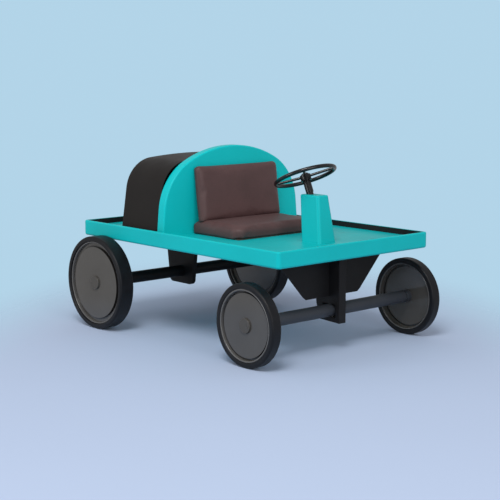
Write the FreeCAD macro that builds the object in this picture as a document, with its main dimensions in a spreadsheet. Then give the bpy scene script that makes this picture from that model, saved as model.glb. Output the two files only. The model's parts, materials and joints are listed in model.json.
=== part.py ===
import FreeCAD, Part
import math
import os
import re
import Sketcher

# A child's pedal car with a flat tray deck, an arched bulkhead, a padded bench and four disc wheels.
# Frame: +X points forward, +Y to the driver's left, +Z up. The origin is on the ground, in the middle of
# the car's length and width. Sizes are in millimetres and angles in degrees.

Vector = FreeCAD.Vector

DIMENSIONS = {
    # deck
    "deck_length": 960,
    "deck_width": 636,
    "rim_top": 343.5,
    "skirt_height": 50,
    "rim_lip": 18.5,
    "floor_thickness": 2,
    "rim_wall": 7,
    "skirt_wall": 2.5,
    "skirt_bead": 9,
    "deck_corner": 12,
    "deck_edge_top": 5,
    "deck_edge_low": 7,
    "liner_thickness": 1.5,
    "liner_drop": 1.2,
    "member_width": 24,
    "member_sheet": 2,
    "member_lift": 10,
    "member_mid": 120,
    "member_rear": -200,
    "column_slot_length": 34,
    "column_slot_width": 26,
    "opening_margin": 4,
    "heel_room": 5,
    # running gear
    "front_axle_x": 379,
    "rear_axle_x": -350,
    "front_radius": 123.5,
    "rear_radius": 152.5,
    "front_face": 359,
    "rear_face": 372,
    "front_tread": 35,
    "rear_tread": 52,
    "tyre_shoulder": 6,
    "tyre_lip": 3,
    "front_bore_share": 0.865,
    "rear_bore_share": 0.893,
    "web_share": 0.77,
    "web_recess": 7.5,
    "inner_recess": 18.5,
    "web_sheet": 2,
    "web_groove": 6,
    "trim_width": 5,
    "inner_trim_width": 3.5,
    "inner_trim_depth": 4,
    "front_trim_inset": 1.2,
    "rear_trim_inset": 4.5,
    "hub_radius": 20,
    "hub_cap_radius": 22.5,
    "boss_height": 5.5,
    "hub_end_wall": 3,
    "stub_radius": 8,
    "running_gap": 0.06,
    "axle_radius": 19.5,
    "tube_wall": 2.5,
    "axle_to_wheel": 5,
    "rear_bush_length": 20,
    # front hanger, kingpin and gusset
    "fin_rear": 322,
    "fin_front": 423,
    "fin_width": 30,
    "fin_bottom": 88,
    "fin_wall": 2.5,
    "fin_heel": 18,
    "fin_heel_rise": 4,
    "fin_heel_height": 62,
    "fin_solid_height": 83,
    "steer_angle": 20,
    "slot_gap": 1.5,
    "gusset_front": 378,
    "gusset_sheet": 3,
    "gusset_bottom": 166.5,
    "gusset_bottom_half": 122,
    "gusset_top_half": 231,
    "gusset_corner_width": 12,
    "gusset_corner_height": 9,
    "kingpin_radius": 7,
    "kingpin_bush_radius": 12,
    "kingpin_bush_length": 12,
    # rear hanger
    "case_half_top": 88,
    "case_half_low": 60,
    "case_bottom": 110,
    "case_width": 15,
    "case_wall": 1.5,
    "flange_half": 40,
    "flange_sheet": 2.5,
    "flange_reach": 5,
    # arched bulkhead and cowl
    "arch_rear_x": -113.5,
    "arch_thickness": 34,
    "arch_half": 292,
    "arch_lean": 5.3,
    "arch_straight": 83,
    "arch_shoulder": 185,
    "arch_top": 600,
    "arch_edge": 5,
    "cowl_rear_x": -303,
    "cowl_half": 290,
    "cowl_lean": 8.5,
    "cowl_straight": 140,
    "cowl_shoulder": 110,
    "cowl_top": 565,
    "cowl_sheet": 2.5,
    "panel_gap": 0.1,
    # seat
    "seat_front_x": 150,
    "seat_half": 178,
    "seat_board_height": 4,
    "seat_board_inset": 12,
    "cushion_height": 40,
    "cushion_round": 12,
    "cushion_corner": 40,
    "back_half": 173,
    "back_height": 175.5,
    "back_thickness": 25,
    "back_recline": 8,
    "back_round": 9,
    "wedge_lift": 8,
    "wedge_gap": 3,
    "soft_gap": 0.4,
    # steering
    "column_tilt": 23.5,
    "joint_height": 242,
    "column_reach": 305.3,
    "column_radius": 10,
    "column_gap": 0.5,
    "sleeve_radius": 12,
    "sleeve_gap": 1,
    "steering_radius": 93.4,
    "steering_grip": 6.2,
    "steering_drop": 3,
    "spoke_radius": 4.2,
    "boss_radius": 16.5,
    "pedestal_base_rear": 276,
    "pedestal_base_front": 359,
    "pedestal_base_half": 36,
    "pedestal_top_rear": 256,
    "pedestal_top_front": 337,
    "pedestal_top_half": 24,
    "pedestal_top": 468,
    "pedestal_corner": 10,
    "pedestal_wall": 3.6,
    "column_bush_radius": 12.5,
    "column_bush_length": 18,
    "yoke_radius": 5,
    "yoke_ear": 4,
    "cross_radius": 3,
    "fork_gap": 0.35,
    # treadles, pull rods and layshaft
    "pivot_x": 388,
    "pivot_height": 300,
    "pivot_radius": 5,
    "pivot_half": 142,
    "treadle_tube": 8,
    "treadle_inner": 50,
    "treadle_outer": 126,
    "treadle_heel": 392,
    "treadle_toe": 449,
    "treadle_slope": 12.6,
    "treadle_lift": 3,
    "treadle_sheet": 2,
    "pad_thickness": 4,
    "lever_reach": 16,
    "lever_lean": 10,
    "lever_thickness": 6,
    "finger_radius": 3,
    "finger_gap": 0.25,
    "rod_side": 22,
    "rod_width": 6,
    "rod_top": 321.4,
    "rod_height": 6.4,
    "rod_gap": 0.6,
    "rack_depth": 5.5,
    "layshaft_x": -305,
    "layshaft_height": 290,
    "layshaft_radius": 5,
    "pinion_pitch": 9,
    "pinion_teeth": 12,
    "pinion_width": 9,
    "tooth_reach": 1.25,
    "tooth_root": 1.6,
    "tooth_backlash": 0.26,
    "tooth_slope": 20,
    "layshaft_pulley": 26,
    "axle_pulley": 16,
    "belt_width": 6,
    "belt_depth": 3,
    "belt_gap": 0.3,
    "rim_gap": 0.4,
    "rim_sheet": 1.2,
    # fasteners
    "bolt_head": 5.5,
    "bolt_thickness": 3.5,
    "bolt_bite": 15,
}

DEGREE = math.pi / 180
X_AXIS = Vector(1, 0, 0)
Y_AXIS = Vector(0, 1, 0)
Z_AXIS = Vector(0, 0, 1)
SIDES = (("left", 1), ("right", -1))

doc = FreeCAD.newDocument("pedal_car")
sheet = doc.addObject("Spreadsheet::Sheet", "dims")
for row, (alias, number) in enumerate(DIMENSIONS.items(), start=1):
    sheet.set(f"A{row}", alias)
    sheet.set(f"B{row}", str(number))
    sheet.setAlias(f"B{row}", alias)
doc.recompute()

nodes = []


# ---------------------------------------------------------------- helpers


def size(alias):
    """The number in one cell of the sheet."""
    return float(sheet.get(alias))


def bound(text):
    """The same formula with every dimension's name pointing at the sheet."""
    return re.sub(r"[a-z_]+[a-z]", lambda m: "dims." + m[0] if m[0] in DIMENSIONS else m[0], str(text))


def place(item, x=0, y=0, z=0, axis=None, angle=0):
    """Bind an object's position, and its turn about one axis, to the sheet."""
    if axis is not None:
        item.Placement = FreeCAD.Placement(Vector(), FreeCAD.Rotation(axis, 1))
        item.setExpression("Placement.Rotation.Angle", bound(angle))
    item.setExpression("Placement.Base.x", bound(x))
    item.setExpression("Placement.Base.y", bound(y))
    item.setExpression("Placement.Base.z", bound(z))
    return item


def keep(item, label):
    """Count an object as a finished sub-part and give it its name."""
    item.Label = label
    nodes.append(item)
    return item


def primitive(kind, name, **formulas):
    """One Part primitive with its properties bound to the sheet."""
    item = doc.addObject("Part::" + kind, name)
    for prop, formula in formulas.items():
        item.setExpression(prop, bound(formula))
    return item


def rod(name, radius, length, x=0, y=0, z=0, axis=None, angle=0):
    """A cylinder that starts at a point and runs along +Z, or along Z turned about an axis."""
    return place(primitive("Cylinder", name, Radius=radius, Height=length), x, y, z, axis, angle)


def cross_rod(name, radius, half, x, z):
    """A cylinder across the car, centred on its middle plane."""
    return rod(name, radius, f"2 * ({half})", x, f"{half}", z, X_AXIS, 90)


def block(name, length, width, height, x, y, z):
    """A box centred on y that starts at x and z."""
    item = primitive("Box", name, Length=length, Width=width, Height=height)
    return place(item, x, f"({y}) - ({width}) / 2", z)


def cut(name, base, *tools):
    """The base with every tool taken away."""
    item = doc.addObject("Part::Cut", name)
    item.Base = base
    item.Tool = tools[0] if len(tools) == 1 else fuse(name + "_tools", *tools)
    return item


def fuse(name, *shapes):
    """Several overlapping shapes joined into one."""
    item = doc.addObject("Part::MultiFuse", name)
    item.Shapes = list(shapes)
    return item


def group(name, *shapes):
    """Separate solids that make one sub-part."""
    item = doc.addObject("Part::Compound", name)
    item.Links = list(shapes)
    return item


def new_body(name):
    """An empty PartDesign body."""
    return doc.addObject("PartDesign::Body", name)


def plane(body, role):
    """One of the body's own origin planes."""
    return next(item for item in body.Origin.OriginFeatures if item.Role == role)


def attach(body, role, lift):
    """A sketch on one of the body's origin planes, lifted along the plane's normal."""
    sketch = body.newObject("Sketcher::SketchObject", body.Name + "_sketch")
    sketch.AttachmentSupport = (plane(body, role), [""])
    sketch.MapMode = "FlatFace"
    sketch.setExpression("AttachmentOffset.Base.z", bound(lift))
    return sketch


def pin_point(sketch, geometry, corner, x, y):
    """Hold one sketch point at a place given by two formulas."""
    for kind, axis, formula in (("DistanceX", -2, x), ("DistanceY", -1, y)):
        if str(formula) == "0":
            sketch.addConstraint(Sketcher.Constraint("PointOnObject", geometry, corner, axis))
            continue
        number = sketch.addConstraint(Sketcher.Constraint(kind, -1, 1, geometry, corner, 1.0))
        sketch.setExpression(f"Constraints[{number}]", bound(formula))


def outline(body, role, corners, lift=0):
    """A closed straight-sided sketch through corners given by formulas."""
    sketch = attach(body, role, lift)
    count = len(corners)
    start = [Vector(math.cos(2 * math.pi * i / count), math.sin(2 * math.pi * i / count), 0) for i in range(count)]
    for i in range(count):
        sketch.addGeometry(Part.LineSegment(start[i], start[(i + 1) % count]), False)
    for i in range(count):
        sketch.addConstraint(Sketcher.Constraint("Coincident", i, 2, (i + 1) % count, 1))
    for i, (x, y) in enumerate(corners):
        pin_point(sketch, i, 1, x, y)
    return sketch


def rectangle(body, role, x_low, x_high, y_low, y_high, lift=0):
    """A rectangular sketch."""
    return outline(body, role, [(x_low, y_low), (x_high, y_low), (x_high, y_high), (x_low, y_high)], lift)


def pad(body, sketch, length):
    """Material on both sides of a sketch."""
    feature = body.newObject("PartDesign::Pad", body.Name + "_pad")
    feature.Profile = sketch
    feature.Midplane = True
    feature.setExpression("Length", bound(length))
    sketch.Visibility = False
    return feature


def pocket(body, sketch, length):
    """A cut on both sides of a sketch."""
    feature = body.newObject("PartDesign::Pocket", body.Name + "_pocket")
    feature.Profile = sketch
    feature.Midplane = True
    feature.setExpression("Length", bound(length))
    return feature


def spin(body, sketch):
    """A full turn of a sketch about its own vertical axis."""
    feature = body.newObject("PartDesign::Revolution", body.Name + "_revolution")
    feature.Profile = sketch
    feature.ReferenceAxis = (sketch, ["V_Axis"])
    feature.Angle = 360
    return feature


def soften(body, radius, chosen):
    """Round the tip's edges that the test picks."""
    doc.recompute()
    tip = body.Tip
    picked = [f"Edge{i}" for i, edge in enumerate(tip.Shape.Edges, start=1) if chosen(edge)]
    feature = body.newObject("PartDesign::Fillet", body.Name + "_fillet")
    feature.Base = (tip, picked)
    feature.setExpression("Radius", bound(radius))
    return feature


def runs_along(edge, axis):
    """Whether an edge is straight and parallel to an axis."""
    if edge.Curve.TypeId != "Part::GeomLine":
        return False
    return abs(abs(edge.Curve.Direction.dot(axis)) - 1) < 1e-6


def middle(edge):
    """The middle of an edge's bounding box."""
    return edge.BoundBox.Center


def free_shape(label, shape):
    """A sub-part whose compound curves are set directly."""
    item = doc.addObject("Part::Feature", label)
    item.Shape = shape
    return keep(item, label)


def circle(body, role, radius, x=0, y=0, lift=0):
    """A round sketch."""
    sketch = attach(body, role, lift)
    sketch.addGeometry(Part.Circle(Vector(0, 0, 0), Z_AXIS, 1.0), False)
    pin_point(sketch, 0, 3, x, y)
    number = sketch.addConstraint(Sketcher.Constraint("Radius", 0, 1.0))
    sketch.setExpression(f"Constraints[{number}]", bound(radius))
    return sketch


def ring_body(name, inner, outer, low, high, x=0, y=0, z=0):
    """A plain ring about an axis across the car, between two distances along it."""
    body = new_body(name)
    spin(body, rectangle(body, "XY_Plane", inner, outer, low, high))
    return place(body, x, y, z)


def mirror_pair(label, make):
    """One sub-part made of a left and a right solid."""
    return keep(group(label, *(make(side, sign) for side, sign in SIDES)), label)


# ---------------------------------------------------------------- shared places

FLOOR_TOP = "(rim_top - rim_lip)"
FLOOR_UNDER = "(rim_top - rim_lip - floor_thickness)"
SKIRT_BOTTOM = "(rim_top - skirt_height)"
INNER_HALF_LENGTH = "(deck_length / 2 - rim_wall)"
SKIRT_HALF_WIDTH = "(deck_width / 2 - skirt_wall)"
ARCH_FRONT = "(arch_rear_x + arch_thickness)"
STEERING_X = "(front_axle_x - column_reach * sin(column_tilt))"
STEERING_Z = "(joint_height + column_reach * cos(column_tilt))"
FLOOR_CROSSING = f"(front_axle_x - ({FLOOR_TOP} - joint_height) * tan(column_tilt))"
FRONT_BEAM_HALF = "(front_face - front_tread - axle_to_wheel)"
REAR_TUBE_HALF = "(rear_face - rear_tread - axle_to_wheel)"
STUB_PAST_FACE = "(boss_height - web_recess - hub_end_wall - 1)"


# ---------------------------------------------------------------- deck


def rounded_slab(name, inset, corner, low, high):
    """A slab as long and wide as the deck less an inset all round, with rounded upright corners."""
    body = new_body(name)
    half_x, half_y = f"(deck_length / 2 - ({inset}))", f"(deck_width / 2 - ({inset}))"
    blank = rectangle(body, "XY_Plane", "-" + half_x, half_x, "-" + half_y, half_y, f"({low} + {high}) / 2")
    pad(body, blank, f"{high} - {low}")
    soften(body, corner, lambda edge: runs_along(edge, Z_AXIS))
    return body


def deck_tray():
    """Pressed tray: a floor with a lip above it and a deeper skirt below it, ending in a rolled bead."""
    outside = rounded_slab("deck_outside", "0", "deck_corner", SKIRT_BOTTOM, "rim_top")
    foot = size("rim_top") - size("skirt_height")
    soften(outside, "deck_edge_top", lambda edge: edge.BoundBox.ZMin > size("rim_top") - 1e-3)
    soften(outside, "deck_edge_low", lambda edge: edge.BoundBox.ZMax < foot + 1e-3)
    well = rounded_slab("deck_well", "rim_wall", "deck_corner - rim_wall", FLOOR_TOP, "(rim_top + rim_lip)")
    under = rounded_slab("deck_under", "skirt_wall", "deck_corner - skirt_wall",
                         f"({SKIRT_BOTTOM} + skirt_bead)", FLOOR_UNDER)
    mouth = rounded_slab("deck_mouth", "skirt_bead", "deck_corner - skirt_bead",
                         f"({SKIRT_BOTTOM} - skirt_height)", FLOOR_UNDER)
    openings = [column_opening()] + [treadle_opening(side, sign) for side, sign in SIDES]
    tools = [well, under, mouth] + openings + bolt_shanks("tray_hole")
    return keep(cut("deck_with_openings", outside, *tools), "deck_tray")


def column_opening():
    """The slot in the floor that the raked steering column passes through."""
    return block("column_slot", "column_slot_length", "column_slot_width", "3 * floor_thickness",
                 f"{FLOOR_CROSSING} - column_slot_length / 2", 0, f"{FLOOR_UNDER} - floor_thickness")


def treadle_opening(side, sign):
    """The floor opening that one treadle swings in, from behind its heel to the front lip."""
    width = "(treadle_outer - treadle_inner + 2 * opening_margin)"
    start = "(treadle_heel - heel_room)"
    return block(f"treadle_opening_{side}", f"{INNER_HALF_LENGTH} - {start}", width, "3 * floor_thickness",
                 start, f"{sign} * (treadle_inner + treadle_outer) / 2", f"{FLOOR_UNDER} - floor_thickness")


def rim_liner():
    """Black edging strip that lines the inner face of the lip all the way round."""
    high = "(rim_top - liner_drop)"
    outside = rounded_slab("liner_outside", "rim_wall", "deck_corner - rim_wall", FLOOR_TOP, high)
    inside = rounded_slab("liner_inside", "rim_wall + liner_thickness",
                          "deck_corner - rim_wall - liner_thickness", f"({FLOOR_TOP} - rim_lip)", "(rim_top + rim_lip)")
    return keep(cut("liner_ring", outside, inside), "rim_liner")


def crossmember(name, x):
    """Folded channel under the floor, notched where the two pull rods slide through."""
    height = "(skirt_height - rim_lip - floor_thickness - member_lift)"
    bottom = f"{FLOOR_UNDER} - {height}"
    outer = block(name + "_outer", "member_width", f"2 * {SKIRT_HALF_WIDTH}", height,
                  f"{x} - member_width / 2", 0, bottom)
    inner = block(name + "_inner", "member_width - 2 * member_sheet", "deck_width", height,
                  f"{x} - member_width / 2 + member_sheet", 0, f"{bottom} - member_sheet")
    notches = [rod_notch(f"{name}_{side}", sign, f"{x} - member_width", "2 * member_width") for side, sign in SIDES]
    return cut(name, outer, inner, *notches)


def rod_notch(name, sign, x, length):
    """Clearance for one pull rod under the floor."""
    return block(name + "_notch", length, "rod_width + 2 * rod_gap", "rod_height + 2 * rod_gap",
                 x, f"{sign} * rod_side", "rod_top - rod_height - rod_gap")


def crossmembers():
    """The two channels that stiffen the floor."""
    pair = [crossmember("mid_channel", "member_mid"), crossmember("rear_channel", "member_rear")]
    return keep(group("crossmember_pair", *pair), "crossmembers")


# ---------------------------------------------------------------- bulkhead and cowl


def arch_face(half, lean, straight, shoulder, top, x):
    """Half-round panel outline: sides that lean in, a shoulder arc each side and a flatter crown."""
    floor = size("rim_top") - size("rim_lip")
    sine, cosine = math.sin(lean * DEGREE), math.cos(lean * DEGREE)
    foot = Vector(x, -half, floor)
    hip = foot + Vector(0, straight * sine, straight * cosine)
    centre = hip + Vector(0, shoulder * cosine, -shoulder * sine)
    reach = top - shoulder
    crown_z = (reach**2 - centre.y**2 - centre.z**2) / (2 * (reach - centre.z))
    crown = Vector(x, 0, crown_z)
    outward = (centre - crown).normalize()
    neck = centre + outward * shoulder
    between = (outward + Vector(0, -cosine, sine)).normalize()
    bend = centre + between * shoulder
    apex = Vector(x, 0, top)
    edges = [
        Part.makeLine(foot, hip),
        Part.Arc(hip, bend, neck).toShape(),
        Part.Arc(neck, apex, flipped(neck)).toShape(),
        Part.Arc(flipped(neck), flipped(bend), flipped(hip)).toShape(),
        Part.makeLine(flipped(hip), flipped(foot)),
        Part.makeLine(flipped(foot), foot),
    ]
    return Part.Face(Part.Wire(edges))


def flipped(point):
    """The same point on the car's other side."""
    return Vector(point.x, -point.y, point.z)


def arch_panel():
    """Thick arched bulkhead behind the seat, with rounded edges, bored for the bolts in its foot."""
    outline_numbers = [size("arch_" + name) for name in ("half", "lean", "straight", "shoulder", "top")]
    face = arch_face(*outline_numbers, size("arch_rear_x"))
    solid = face.extrude(Vector(size("arch_thickness"), 0, 0))
    floor = size("rim_top") - size("rim_lip")
    rounded = [edge for edge in solid.Edges if edge.BoundBox.XLength < 1e-3 and edge.BoundBox.ZMax > floor + 1]
    blank = doc.addObject("Part::Feature", "arch_blank")
    blank.Shape = solid.makeFillet(size("arch_edge"), rounded)
    return keep(cut("arch_bored", blank, *bolt_shanks("arch_hole")), "arch_panel")


def cowl_face(inset):
    """The cowl's outline moved inwards by a distance."""
    half, lean, straight, shoulder, top = (
        size("cowl_" + name) for name in ("half", "lean", "straight", "shoulder", "top")
    )
    return arch_face(half - inset / math.cos(lean * DEGREE), lean, straight, shoulder - inset, top - inset,
                     size("cowl_rear_x"))


def hood_shell():
    """Thin black cowl that bridges from the bulkhead to its own rear edge, open underneath."""
    length = Vector(size("arch_rear_x") - size("cowl_rear_x"), 0, 0)
    outer = cowl_face(0).extrude(length)
    rear = [edge for edge in outer.Edges if edge.BoundBox.XMax < size("cowl_rear_x") + 1e-3
            and edge.BoundBox.ZMax > size("rim_top") and edge.BoundBox.XLength < 1e-3]
    outer = outer.makeFillet(size("cowl_sheet") * 0.7, rear)
    return free_shape("hood_shell", outer.cut(cowl_face(size("cowl_sheet")).extrude(length)))


def hood_rear_panel():
    """Flat panel that closes the back of the cowl, set in from its edge."""
    panel = cowl_face(size("cowl_sheet") + size("panel_gap"))
    panel.translate(Vector(size("cowl_sheet"), 0, 0))
    return free_shape("hood_rear_panel", panel.extrude(Vector(size("cowl_sheet") * 0.75, 0, 0)))


# ---------------------------------------------------------------- seat


def seat_board():
    """Plywood base under the seat cushion, set in from its edge."""
    board = block("seat_board", f"seat_front_x - seat_board_inset - {ARCH_FRONT}",
                  "2 * (seat_half - seat_board_inset)", "seat_board_height", ARCH_FRONT, 0, FLOOR_TOP)
    return keep(board, "seat_board")


def seat_cushion():
    """Closed solid of the seat cushion."""
    body = new_body("seat_cushion")
    bottom = f"({FLOOR_TOP} + seat_board_height)"
    top = f"({FLOOR_TOP} + cushion_height)"
    blank = rectangle(body, "XY_Plane", f"{ARCH_FRONT} + soft_gap", "seat_front_x", "-seat_half", "seat_half",
                      f"({bottom} + {top}) / 2")
    pad(body, blank, f"{top} - {bottom}")
    soften(body, "cushion_corner", lambda edge: runs_along(edge, Z_AXIS) and middle(edge).x > 0)
    soften(body, "cushion_round", lambda edge: middle(edge).z > size("rim_top") + 5 and not runs_along(edge, Z_AXIS))
    return keep(body, "seat_cushion")


def seat_back_pad():
    """Closed solid of the reclined back cushion, standing on the seat cushion."""
    body = new_body("seat_back_pad")
    blank = rectangle(body, "YZ_Plane", "-back_half", "back_half", 0, "back_height", "back_thickness / 2")
    pad(body, blank, "back_thickness")
    soften(body, "1.6 * back_round", lambda edge: runs_along(edge, X_AXIS))
    soften(body, "back_round", lambda edge: middle(edge).x > size("back_thickness") - 1e-3)
    foot_x = f"{ARCH_FRONT} + back_height * sin(back_recline) + 2 * soft_gap"
    place(body, foot_x, 0, f"{FLOOR_TOP} + cushion_height + soft_gap", Y_AXIS, "-back_recline")
    return keep(body, "seat_back_pad")


def seat_back_wedge():
    """Wedge block on the bulkhead that the reclined back cushion leans on."""
    body = new_body("seat_back_wedge")
    low = f"({FLOOR_TOP} + cushion_height + wedge_lift)"
    high = "(back_height * 0.75)"
    thick = "(back_height * sin(back_recline) - wedge_gap)"
    corners = [
        (ARCH_FRONT, low),
        (f"{ARCH_FRONT} + {thick}", low),
        (f"{ARCH_FRONT} + {thick} - {high} * tan(back_recline)", f"{low} + {high}"),
        (ARCH_FRONT, f"{low} + {high}"),
    ]
    pad(body, outline(body, "XZ_Plane", corners), "1.7 * back_half")
    return keep(body, "seat_back_wedge")


# ---------------------------------------------------------------- steering


def steering_pedestal():
    """Hollow tapered box that carries the top bush of the steering column."""
    body = new_body("pedestal_shell")
    outer = body.newObject("PartDesign::AdditiveWedge", "pedestal_outer")
    inner = body.newObject("PartDesign::SubtractiveWedge", "pedestal_inner")
    height = f"(pedestal_top - {FLOOR_TOP})"
    for feature, inset, lid in ((outer, "0", "0"), (inner, "pedestal_wall", "2.4 * column_radius")):
        formulas = {
            "Xmin": f"pedestal_base_rear + {inset}", "Xmax": f"pedestal_base_front - {inset}",
            "Zmin": f"-pedestal_base_half + {inset}", "Zmax": f"pedestal_base_half - {inset}",
            "X2min": f"pedestal_top_rear + {inset}", "X2max": f"pedestal_top_front - {inset}",
            "Z2min": f"-pedestal_top_half + {inset}", "Z2max": f"pedestal_top_half - {inset}",
            "Ymin": 0, "Ymax": f"{height} - {lid}",
        }
        for prop, formula in formulas.items():
            feature.setExpression(prop, bound(formula))
    doc.recompute()
    rim_height = size("pedestal_top") - size("rim_top") + size("rim_lip")
    soften(body, "pedestal_corner", lambda edge: outer_upright(edge, rim_height))
    soften(body, "pedestal_corner / 2", lambda edge: edge.BoundBox.YMin > rim_height - 1e-3)
    place(body, 0, 0, FLOOR_TOP, X_AXIS, 90)
    bores = [
        along_column("pedestal_bush_bore", "column_bush_radius", "column_bush_length", TOP_BUSH_START),
        along_column("pedestal_lower_bore", "column_bush_radius", "2 * column_bush_length",
                     f"{TOP_BUSH_START} - 2 * column_bush_length"),
        along_column("pedestal_column_bore", "column_radius + column_gap", "4 * column_bush_length", TOP_BUSH_START),
    ]
    return keep(cut("pedestal_bored", body, *bores), "steering_pedestal")


def outer_upright(edge, height):
    """Whether an edge runs up one of the pedestal's four outer corners."""
    box = edge.BoundBox
    return box.YLength > height - 1


TOP_BUSH_START = (
    "((pedestal_top - joint_height) / cos(column_tilt) - column_bush_radius * tan(column_tilt)"
    " - column_bush_length)"
)
LOW_BUSH_START = "(1.8 * column_radius + 2 * column_bush_length)"
SLEEVE_START = (
    "((pedestal_top - joint_height) / cos(column_tilt) + sleeve_radius * tan(column_tilt) + sleeve_gap)"
)


def along_column(name, radius, length, start):
    """A cylinder on the column's axis that starts a distance above the universal joint."""
    x = f"front_axle_x - ({start}) * sin(column_tilt)"
    z = f"joint_height + ({start}) * cos(column_tilt)"
    return rod(name, radius, length, x, 0, z, Y_AXIS, "-column_tilt")


def column_bushes():
    """Two equal bushes that the column turns in: under the pedestal's top and inside the hanger."""
    rings = []
    for name, start in (("top", TOP_BUSH_START), ("low", LOW_BUSH_START)):
        outer = along_column(f"{name}_bush_outer", "column_bush_radius", "column_bush_length", start)
        inner = along_column(f"{name}_bush_bore", "column_radius + running_gap", "2 * column_bush_length",
                             f"{start} - column_bush_length / 2")
        rings.append(cut(f"{name}_bush", outer, inner))
    return keep(group("column_bush_pair", *rings), "column_bushes")


def on_steering_wheel(item, lift=0):
    """Move an item made about its own origin to the middle of the steering wheel."""
    x = f"{STEERING_X} - ({lift}) * sin(column_tilt)"
    z = f"{STEERING_Z} + ({lift}) * cos(column_tilt)"
    return place(item, x, 0, z, Y_AXIS, "-column_tilt")


def steering_rim():
    """Round grip ring of the steering wheel."""
    ring = primitive("Torus", "grip_ring", Radius1="steering_radius", Radius2="steering_grip")
    return keep(on_steering_wheel(ring), "steering_rim")


def steering_spokes():
    """Hub with four straight spokes that rise to the grip ring."""
    hub = rod("wheel_hub", "boss_radius", "steering_grip * 3", 0, 0, "-steering_drop - steering_grip * 2")
    spokes = []
    for i in range(4):
        turn = math.pi / 4 + i * math.pi / 2
        swing = Vector(-math.sin(turn), math.cos(turn), 0)
        spokes.append(rod(f"spoke_{i + 1}", "spoke_radius", "steering_radius", 0, 0, "-steering_drop", swing,
                          "90 deg - atan(steering_drop / steering_radius)"))
    seat = primitive("Torus", "spoke_seat", Radius1="steering_radius", Radius2="steering_grip")
    return keep(on_steering_wheel(cut("spokes_cut", fuse("spokes_solid", hub, *spokes), seat)), "steering_spokes")


def steering_cap():
    """Domed cap on the middle of the steering wheel."""
    body = new_body("steering_cap")
    height = "(steering_grip * 0.9)"
    spin(body, rectangle(body, "XZ_Plane", 0, "boss_radius * 0.7", 0, height))
    soften(body, "steering_grip * 0.7", lambda edge: edge.BoundBox.ZMin > size("steering_grip") * 0.9 - 1e-3)
    return keep(on_steering_wheel(body, "steering_grip - steering_drop"), "steering_cap")


def steering_column():
    """Column with a thicker sleeve above the pedestal, and a lower end forked with its ears left and right."""
    body = new_body("steering_column")
    shoulder = "(2 * yoke_radius)"
    top = "(column_reach - steering_drop - steering_grip * 2)"
    spin(body, rectangle(body, "XZ_Plane", 0, "column_radius", shoulder, top))
    spin(body, rectangle(body, "XZ_Plane", 0, "sleeve_radius", SLEEVE_START, top))
    add_ears(body, "YZ_Plane", 1)
    pocket(body, circle(body, "XZ_Plane", "cross_radius"), "4 * column_radius")
    place(body, "front_axle_x", 0, "joint_height", Y_AXIS, "-column_tilt")
    return keep(body, "steering_column")


def add_ears(body, role, upward):
    """The two ears of a universal joint's fork, rounded round their pin."""
    tip, root = f"{-upward} * (yoke_radius - 0.5)", f"{upward} * 2.2 * yoke_radius"
    for sign in (1, -1):
        near, far = f"{sign} * 1.5 * yoke_radius", f"{sign} * (1.5 * yoke_radius + yoke_ear * 0.75)"
        pad(body, rectangle(body, role, near, far, tip, root), "1.8 * yoke_radius")


def universal_cross():
    """Four-armed pin that joins the column's fork to the kingpin's fork."""
    arm = "(2.05 * yoke_radius)"
    across = cross_rod("cross_arm_y", "cross_radius", arm, "front_axle_x", "joint_height")
    along = rod("cross_arm_x", "cross_radius", f"2 * {arm}", f"front_axle_x - {arm}", 0, "joint_height", Y_AXIS, 90)
    side = "(1.5 * cross_radius)"
    heart = block("cross_heart", f"2 * {side}", f"2 * {side}", f"2 * {side}", f"front_axle_x - {side}", 0,
                  f"joint_height - {side}")
    return keep(fuse("cross_solid", across, along, heart), "universal_cross")


# ---------------------------------------------------------------- front axle


def front_hanger():
    """Deep fin under the deck that carries the kingpin; the axle swings in its slot."""
    body = new_body("fin")
    corners = [
        ("fin_rear", FLOOR_UNDER),
        ("fin_front", FLOOR_UNDER),
        ("fin_front", "fin_bottom"),
        ("fin_rear + fin_heel", "fin_bottom + fin_heel_rise"),
        ("fin_rear", "fin_bottom + fin_heel_height"),
    ]
    pad(body, outline(body, "XZ_Plane", corners), "fin_width")
    soften(body, "fin_wall * 1.6", lambda edge: runs_along(edge, Z_AXIS))
    hollow_low = "(fin_bottom + fin_solid_height)"
    hollow = rectangle(body, "XZ_Plane", "fin_rear + fin_wall", "fin_front - fin_wall", hollow_low, FLOOR_UNDER)
    pocket(body, hollow, "fin_width - 2 * fin_wall")
    reach = "(fin_width / 2 * tan(steer_angle) + axle_radius / cos(steer_angle) + slot_gap)"
    height = "(axle_radius + slot_gap)"
    slot = rectangle(body, "XZ_Plane", f"front_axle_x - {reach}", f"front_axle_x + {reach}",
                     f"front_radius - {height}", f"front_radius + {height}")
    pocket(body, slot, "2 * fin_width")
    bore = rod("kingpin_bore", "kingpin_bush_radius", f"{hollow_low} - fin_bottom + 2 * fin_wall", "front_axle_x", 0,
               "fin_bottom - fin_wall")
    shaft_hole = cross_rod("fin_shaft_hole", "pivot_radius", "fin_width", "pivot_x", "pivot_height")
    return keep(cut("fin_bored", body, bore, shaft_hole), "front_hanger")


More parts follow.
